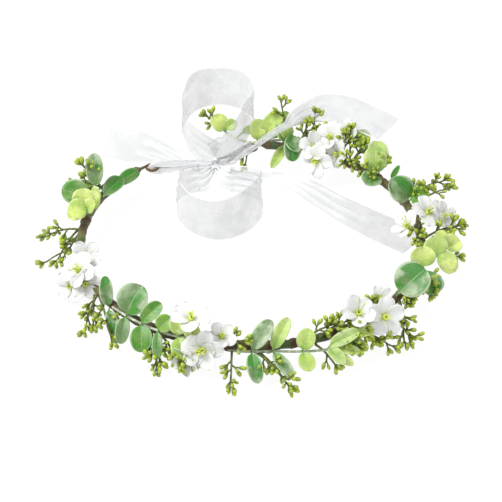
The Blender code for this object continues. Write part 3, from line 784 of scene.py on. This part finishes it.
for number, (place, turn, rise, size, stamens) in enumerate(FILLER_BLOSSOMS):
    angle = place[0]
    flat = Matrix.Rotation(math.radians(turn), 3, "Z") @ outward(angle)
    face = flat * math.cos(math.radians(rise)) + UP * math.sin(math.radians(rise))
    centre = at(*place)
    foot = nearest_stem(centre - face * 4 * MM)
    chance = random.Random(600 + number)
    closed = chance.uniform(0.0, 0.5)
    blossom(f"filler_blossom_{number + 1:02d}", centre, face, size, closed, stamens, foot, chance)


# The ribbon
# White sheer organza, 25 mm wide, with a bright woven selvedge down each side. It is threaded through both
# eyes of the ring and tied in a soft bow behind them: two loops, three tails, and the knot that holds them.

RIBBON_WIDTH = 25 * MM
RIBBON_THREAD = 0.45 * MM  # between the threads that show
knot_low, knot_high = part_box("bow_knot")
KNOT = (knot_low + knot_high) / 2
KNOT_HALF = (knot_high - knot_low) / 2
EYE_RADIUS = 3.5 * MM
TAIL_UNDER_RING = 9 * MM  # what the ring hides of the tail that lies on the table
# How far each tail's far and near edge close in where it turns edge on, as shares of the distance between
# them, and how deep its pleats are pressed
TAILS = {"tail_left": (0, 0, 0.52), "tail_back": (0.75, 0, 0.75), "tail_inner": (0.24, 0.20, 0.75)}
TURNED_FULLY = 0.40  # of its length from the knot
TURNED_PART = 0.60
LOOP_PLEATS = 4
TAIL_PLEATS = 3
FULLEST = 2.6  # of the width that a loop or tail is gathered to
STEPS_BETWEEN = 6  # two points of an edge
OUTER_LOOP_TOP = 19 * MM  # above the knot's middle, where the outer loop's upper edge meets it
LOOP_BOW = 3.0 * MM  # how far a loop's ends bow outwards
LOOP_BOW_RISE = 0.6  # of that, upwards on the outer loop, to keep clear of the wire
LOOP_BOWED = 0.24  # of its length at each end
LOOP_LEAST = 24 * MM  # how closely a loop is gathered before it goes into the knot

# Threads both ways, read from a sheet's own chart in metres. The petals' cloth is too fine to need them.
organza, tree, shader = finish_called("organza", 0.38)
chart = add_node(tree, "SeparateXYZ", {0: add_node(tree, "UVMap").outputs[0]})
threads = []
for axis in (0, 1):
    wave = maths(tree, "SINE", maths(tree, "MULTIPLY", chart.outputs[axis], math.tau / RIBBON_THREAD))
    threads.append(between(tree, wave, -0.4, 0.9))
thread = maths(tree, "MAXIMUM", threads[0], threads[1])
from_middle = maths(tree, "ABSOLUTE", chart.outputs[0])
selvedge = between(tree, from_middle, RIBBON_WIDTH * 0.462, RIBBON_WIDTH * 0.478)
gather = from_mesh(tree, "gather")
cloudy = between(tree, speckle(tree, 12 * MM, 5.0, 0.7), 0.36, 0.64, -0.09, 0.11)
sheer = maths(tree, "ADD", maths(tree, "MULTIPLY_ADD", thread, 0.12, 0.40), cloudy)
sheer = maths(tree, "MAXIMUM", sheer, maths(tree, "MULTIPLY", selvedge, 0.92))
sheer = maths(tree, "MAXIMUM", sheer, maths(tree, "MULTIPLY_ADD", gather, 0.42, 0.35))
sheer = maths(tree, "MINIMUM", sheer, 1.0)
tree.links.new(sheer, shader.inputs["Alpha"])
# Where the ribbon is gathered its colour is lifted towards white: painted light that lightens the shade
# between its pleats. The selvedge is white, and the sheer cloth between is grey.
bright = maths(tree, "MAXIMUM", selvedge, maths(tree, "MULTIPLY", gather, 0.95))
colour = blend_colours(tree, bright, (0.515, 0.523, 0.535, 1), (0.93, 0.94, 0.95, 1))
colour = uneven(tree, colour, 9 * MM, 0.06)[0]
height = maths(tree, "MULTIPLY_ADD", speckle(tree, 5 * MM), 18.0, thread)
dress(tree, shader, colour, height, 0.03 * MM, 0.6)
shader.inputs["Sheen Weight"].default_value = 0.35


def smooth(points, steps):
    """A smooth curve through the points, with this many steps between each two."""
    line = []
    last = len(points) - 1
    for i in range(last):
        a, b, c, d = (points[min(max(i + k, 0), last)] for k in (-1, 0, 1, 2))
        for step in range(steps):
            t = step / steps
            square = (2 * a - 5 * b + 4 * c - d) * t**2
            cube = (3 * b - a - 3 * c + d) * t**3
            line.append(0.5 * (2 * b + (c - a) * t + square + cube))
    return line + [points[-1]]


def strip_edges(name):
    """The two long edges of a ribbon's plain strip in the frame, point for point across from each other."""
    bm = merged(name)
    thin = {face for edge in bm.edges if edge.calc_length() < 0.6 * MM for face in edge.link_faces}
    bmesh.ops.delete(bm, geom=list(thin), context="FACES_ONLY")
    bm.faces.ensure_lookup_table()
    island = {bm.faces[0]}
    front = [bm.faces[0]]
    while front:
        near = {face for old in front for edge in old.edges for face in edge.link_faces} - island
        island |= near
        front = list(near)
    border = [edge for edge in bm.edges if sum(face in island for face in edge.link_faces) == 1]
    beside = {}
    for edge in border:
        for vertex in edge.verts:
            beside.setdefault(vertex, []).append(edge.other_vert(vertex))
    start = min(beside, key=lambda vertex: vertex.index)
    loop = [start, beside[start][0]]
    while True:
        ahead = [vertex for vertex in beside[loop[-1]] if vertex is not loop[-2]][0]
        if ahead is start:
            break
        loop.append(ahead)
    count = len(loop)

    def bend(i):
        before = loop[i].co - loop[i - 1].co
        after = loop[(i + 1) % count].co - loop[i].co
        return before.angle(after)

    corners = sorted(sorted(range(count), key=bend)[-4:])
    chains = []
    for k in range(4):
        first, last = corners[k], corners[(k + 1) % 4]
        if last <= first:
            last += count
        chains.append([loop[i % count].co.copy() for i in range(first, last + 1)])
    chains.sort(key=len)
    bm.free()
    count = len(chains[3])
    return resampled(chains[2], count), resampled(chains[3][::-1], count)


def resampled(points, count):
    """The same line with this many points, evenly counted."""
    line = []
    for i in range(count):
        share = (len(points) - 1) * i / (count - 1)
        before = min(int(share), len(points) - 2)
        line.append(points[before].lerp(points[before + 1], share - before))
    return line


def ribbon(name, left, right, pleats, fullest, chance, bulge=0.0, press=0.52):
    """A sheet between two edges, pleated where they are closer than the ribbon is wide, and its length."""
    rows = len(left) - 1
    columns = pleats * 10
    centres = [(a + b) / 2 for a, b in zip(left, right)]
    run = [0.0]
    for a, b in zip(centres, centres[1:]):
        run.append(run[-1] + (b - a).length)
    drift = chance.uniform(0, math.tau)
    gathers = []
    frames = []
    for i in range(rows + 1):
        way = (centres[min(i + 1, rows)] - centres[max(i - 1, 0)]).normalized()
        span = right[i] - left[i]
        span -= way * span.dot(way)
        width = max(span.length, 1 * MM)
        across = span.normalized()
        fullness = min(max(RIBBON_WIDTH / width, 1), fullest)
        wavelength = width * 2 / pleats
        depth = wavelength / math.tau * math.sqrt(2 * (fullness**2 - 1)) * press
        gathers.append(min(1, (fullness - 1) / 1.5))
        frames.append((centres[i], across, way.cross(across).normalized(), width, depth))
    bm = new_sheet("gather")
    gather_layer = bm.verts.layers.float["gather"]

    def shape(u, v):
        i = round(u * rows)
        centre, across, normal, width, depth = frames[i]
        s = run[i]
        fold = depth * math.sin(math.pi * pleats * v + 0.9 * math.sin(s / (9 * MM) + drift))
        soft = 0.7 * MM * math.sin(s / (8 * MM) + 2.1 * v + drift) * math.sin(1.3 * v + s / (21 * MM))
        ease = 1 - gathers[i]
        soft += 0.9 * MM * ease * math.sin(s / (13 * MM) + drift * 2) * v
        point = centre + across * width / 2 * v + normal * (fold + soft + bulge * (1 - v * v))
        point.z = max(point.z, 0.15 * MM)
        return point

    bent_grid(bm, rows, columns, shape)
    chart = bm.loops.layers.uv.verify()
    for face in bm.faces:
        for corner in face.loops:
            x, y = corner[chart].uv
            corner[chart].uv = ((x - 0.5) * RIBBON_WIDTH, run[round(y * rows)])
            corner.vert[gather_layer] = gathers[round(y * rows)]
    bmesh.ops.recalc_face_normals(bm, faces=bm.faces)
    return piece(bm, name, organza), run[-1]


def into_knot(edge, other, ends):
    """Carries an edge on into the knot at one end or at both."""
    start = KNOT + (edge[0] - other[0]) * 0.25
    finish = KNOT + (edge[-1] - other[-1]) * 0.25
    return [start] + edge + ([finish] if ends == 2 else [])


def broadened(edge, other, push):
    """The edge moved along push wherever the ribbon is gathered closer than LOOP_LEAST."""
    return [a + push * max(0, LOOP_LEAST - (a - b).length) for a, b in zip(edge, other)]


def bowed(edge, outwards, rise):
    """The edge with its first and last stretch bowed to their own sides, as a full loop leaves its knot."""
    last = len(edge) - 1
    line = []
    for i, point in enumerate(edge):
        part = min(1, min(i, last - i) / (last * LOOP_BOWED))
        push = LOOP_BOW * math.sin(math.pi * part)
        line.append(point + outwards * math.copysign(push, last / 2 - i) + UP * rise * push)
    return line


LOOPS = (("bow_loop_outer", "bow_outer", 1), ("bow_loop_inner", "bow_inner", -1))
for number, (name, body, sign) in enumerate(LOOPS):
    left, right = strip_edges(name)
    count = len(left)
    upper, lower = (left, right) if left[0].z > right[0].z else (right, left)
    if sign > 0:
        upper = broadened(upper, lower, UP)
    else:
        lower = broadened(lower, upper, Vector((0, -1, 0)))
    outwards = Vector((math.copysign(1, upper[count // 4].x - upper[-count // 4].x), 0, 0))
    rise = LOOP_BOW_RISE if sign > 0 else 0
    upper, lower = bowed(upper, outwards, rise), bowed(lower, outwards, rise)
    left, right = into_knot(upper, lower, 2), into_knot(lower, upper, 2)
    if sign > 0:
        left[0] = left[-1] = KNOT + UP * OUTER_LOOP_TOP
    left, right = smooth(left, STEPS_BETWEEN), smooth(right, STEPS_BETWEEN)
    made, length = ribbon(
        name + "_ribbon", left, right, LOOP_PLEATS, FULLEST, random.Random(700 + number),
    )
    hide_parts(name)
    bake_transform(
        made, "bow", body,
        start=KNOT + Vector((0, sign * 3 * MM, 0)), end=KNOT + Vector((0, sign * 16 * MM, 0)),
    )

for number, (name, (close_far, close_near, press)) in enumerate(TAILS.items()):
    left, right = strip_edges(name)
    if (left[0] - KNOT).length > (left[-1] - KNOT).length:
        left.reverse()
        right.reverse()
    count = len(left)
    way = ((left[2] + right[2]) / 2 - KNOT).normalized()
    far, near = (left, right) if left[2].y + left[2].z > right[2].y + right[2].z else (right, left)
    for i in range(count):
        turned = min(1, max(0, (TURNED_PART - i / count) / (TURNED_PART - TURNED_FULLY)))
        back, front = far[i], near[i]
        far[i] = back.lerp(front, close_far * turned)
        near[i] = front.lerp(back, close_near * turned)
    left, right = into_knot(left, right, 1), into_knot(right, left, 1)
    if name == "tail_inner":
        for edge in (left, right):
            edge.append(edge[-1] + (edge[-1] - edge[-3]).normalized() * TAIL_UNDER_RING)
    left, right = smooth(left, STEPS_BETWEEN), smooth(right, STEPS_BETWEEN)
    made, length = ribbon(
        name + "_ribbon", left, right, TAIL_PLEATS, FULLEST, random.Random(710 + number), 0, press,
    )
    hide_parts(name)
    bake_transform(made, "bow", "crown_ring", start=KNOT + way * 4 * MM, end=KNOT + way * 24 * MM)

# The knot: one turn of the gathered ribbon round the waist of the bow.
turns = [math.tau * k / 40 for k in range(46)]
KNOT_BULGE = 2.6 * MM
wide, tall = KNOT_HALF.x - KNOT_BULGE, KNOT_HALF.z - KNOT_BULGE
waist = [KNOT + Vector((wide * math.cos(turn), 0, tall * math.sin(turn))) for turn in turns]
brim = Vector((0, KNOT_HALF.y * 0.9, 0))
left, right = [point - brim for point in waist], [point + brim for point in waist]
made, length = ribbon("bow_knot_ribbon", left, right, 7, 3.6, random.Random(720), KNOT_BULGE, 0.95)
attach(made, "bow")
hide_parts("bow_knot")

# The two ties: the ribbon bunched to a strand, out to an eye, over the wire, down through it and back.
for number, (side, angle, sign) in enumerate((("left", 130, -1), ("right", 450, 1))):
    eye = at(angle) - outward(angle) * EYE_RADIUS
    low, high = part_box("tie_" + side)
    rise = (high.z - low.z) / 2 * 0.62
    start = KNOT + Vector((sign * KNOT_HALF.x * 0.4, 0, 0))
    way = (start - eye).normalized()
    over = [
        start + UP * 1.0 * MM, eye.lerp(start, 0.45) + UP * rise, eye + way * 6.5 * MM + UP * rise,
        eye + way * 1.2 * MM + UP * rise * 0.8,
    ]
    under = [point - 2 * UP * (point.z - eye.z) for point in reversed(over)]
    line = smooth(over + [eye - way * 0.4 * MM] + under, 8)
    level = UP.cross(way).normalized() * 1.5 * MM
    left, right = [point - level for point in line], [point + level for point in line]
    made, length = ribbon(f"tie_{side}_ribbon", left, right, 5, 8.0, random.Random(730 + number), 0, 0.8)
    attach(made, "bow")
    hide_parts("tie_" + side)


# The table, the light and the camera
# A plain white table under broad soft light from above and the left, and a camera a little over half a
# metre above the crown, looking down on its front.

FLOOR_GLOW = 0.92  # the table is lit through, so that it is white under everything
SKY_STRENGTH = 0.55
floor_white, _, shader = finish_called("floor_white", 0.9)
shader.inputs["Base Color"].default_value = (0.12, 0.12, 0.12, 1)
shader.inputs["Specular IOR Level"].default_value = 0.0
shader.inputs["Emission Color"].default_value = (1, 1, 1, 1)
shader.inputs["Emission Strength"].default_value = FLOOR_GLOW
ground = bmesh.new()
bmesh.ops.create_grid(ground, x_segments=1, y_segments=1, size=3)
mesh = bpy.data.meshes.new("table")
ground.to_mesh(mesh)
ground.free()
mesh.materials.append(floor_white)
table = bpy.data.objects.new("table", mesh)
bpy.context.scene.collection.objects.link(table)

sky = bpy.data.worlds.new("studio")
sky.use_nodes = True
sky.node_tree.nodes["Background"].inputs["Color"].default_value = (1, 1, 1, 1)
sky.node_tree.nodes["Background"].inputs["Strength"].default_value = SKY_STRENGTH
bpy.context.scene.world = sky


def soft_light(name, place, size, power):
    """A square light that faces the middle of the crown, with its side in metres and its power in watts."""
    lamp = bpy.data.lights.new(name, "AREA")
    lamp.size = size
    lamp.energy = power
    made = bpy.data.objects.new(name, lamp)
    made.location = place
    made.rotation_euler = (-Vector(place)).to_track_quat("-Z", "Y").to_euler()
    bpy.context.scene.collection.objects.link(made)


soft_light("key", (-0.6, -0.1, 0.9), 0.5, 11.0)
soft_light("fill", (0.7, -0.7, 0.8), 0.9, 4.0)

VIEW_RISE = math.radians(36.2)
VIEW_DISTANCE = 0.9
FOCAL_LENGTH = 115.2  # millimetres, as is the sensor's width
SENSOR_WIDTH = 36
VIEW_SHIFT = -0.028  # of the view's width
lens = bpy.data.cameras.new("camera")
lens.lens = FOCAL_LENGTH
lens.sensor_width = SENSOR_WIDTH
lens.shift_y = VIEW_SHIFT
camera = bpy.data.objects.new("camera", lens)
back = Vector((0, -math.cos(VIEW_RISE), math.sin(VIEW_RISE)))
camera.location = Vector((0, 0, RING_HEIGHT)) + back * VIEW_DISTANCE
camera.rotation_euler = (-back).to_track_quat("-Z", "Y").to_euler()
bpy.context.scene.collection.objects.link(camera)
bpy.context.scene.camera = camera
bpy.context.scene.view_settings.view_transform = "Standard"
